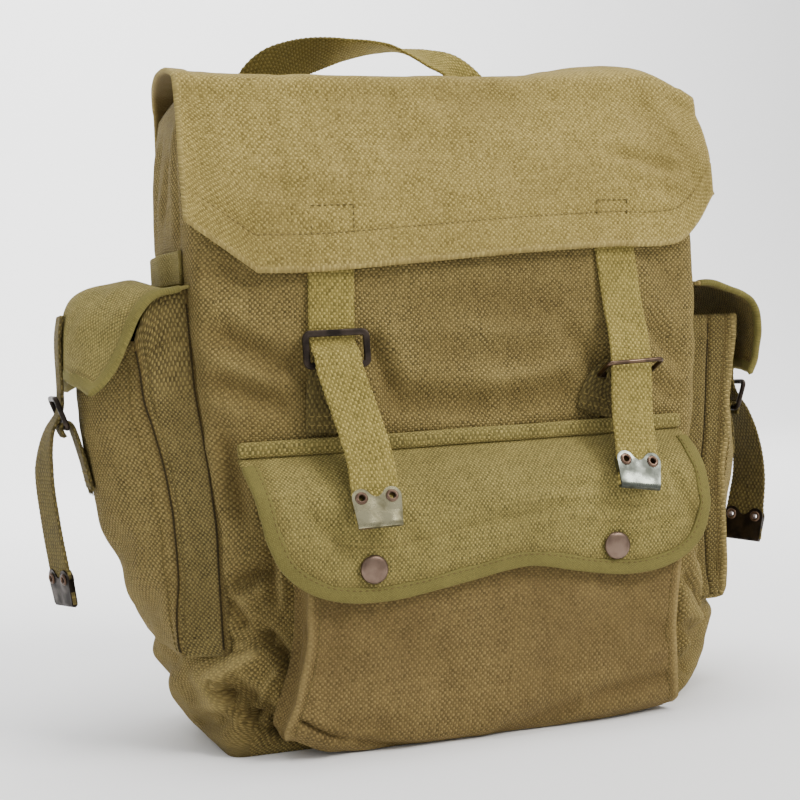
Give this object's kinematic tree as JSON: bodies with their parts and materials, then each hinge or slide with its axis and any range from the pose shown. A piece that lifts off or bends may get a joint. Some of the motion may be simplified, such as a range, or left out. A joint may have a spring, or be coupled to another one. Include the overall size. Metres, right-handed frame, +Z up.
{
  "type": "haversack",
  "caption": "Soft canvas haversack with an open-topped sack under a strapped lid, a flapped front pocket, strapped side pockets and a webbing handle.",
  "frame": {"origin": "middle of the sack's flat base, on the ground", "axes": "+Z up from the base to the mouth, -Y out of the front with the pocket flap, +X to the right of someone who faces the front"},
  "size_m": [0.4446, 0.187, 0.4036],
  "materials": {
    "canvas": "coarse plain weave, matt",
    "flap_cloth": "finer ribbed canvas, matt",
    "tape": "smooth cotton tape",
    "webbing": "thick woven webbing",
    "dark_metal": "dark bronzed, worn",
    "tip_steel": "plated, dulled",
    "eyelet_metal": "brown, dulled"
  },
  "bodies": {
    "root": {"front_flap": "flap_cloth", "front_flap_binding": "tape", "front_flap_welt": "tape", "front_pocket": "canvas", "handle": "webbing", "lid": "canvas", "lid_buckle_left": "dark_metal", "lid_buckle_right": "dark_metal", "lid_chape_left": "webbing", "lid_chape_right": "webbing", "lid_strap_eyelet_left_1": "eyelet_metal", "lid_strap_eyelet_left_2": "eyelet_metal", "lid_strap_eyelet_right_1": "eyelet_metal", "lid_strap_eyelet_right_2": "eyelet_metal", "lid_strap_left": "webbing", "lid_strap_right": "webbing", "lid_strap_tip_left": "tip_steel", "lid_strap_tip_right": "tip_steel", "press_stud_left": "dark_metal", "press_stud_right": "dark_metal", "sack": "canvas", "side_buckle_left": "dark_metal", "side_buckle_right": "dark_metal", "side_chape_left": "webbing", "side_chape_right": "webbing", "side_flap_left": "flap_cloth", "side_flap_right": "flap_cloth", "side_loop_left": "tape", "side_loop_right": "tape", "side_pocket_left": "canvas", "side_pocket_right": "canvas", "side_strap_eyelet_left_1": "eyelet_metal", "side_strap_eyelet_left_2": "eyelet_metal", "side_strap_eyelet_right_1": "eyelet_metal", "side_strap_eyelet_right_2": "eyelet_metal", "side_strap_left": "webbing", "side_strap_right": "webbing", "side_strap_tip_left": "dark_metal", "side_strap_tip_right": "dark_metal"}
  },
  "joints": []
}
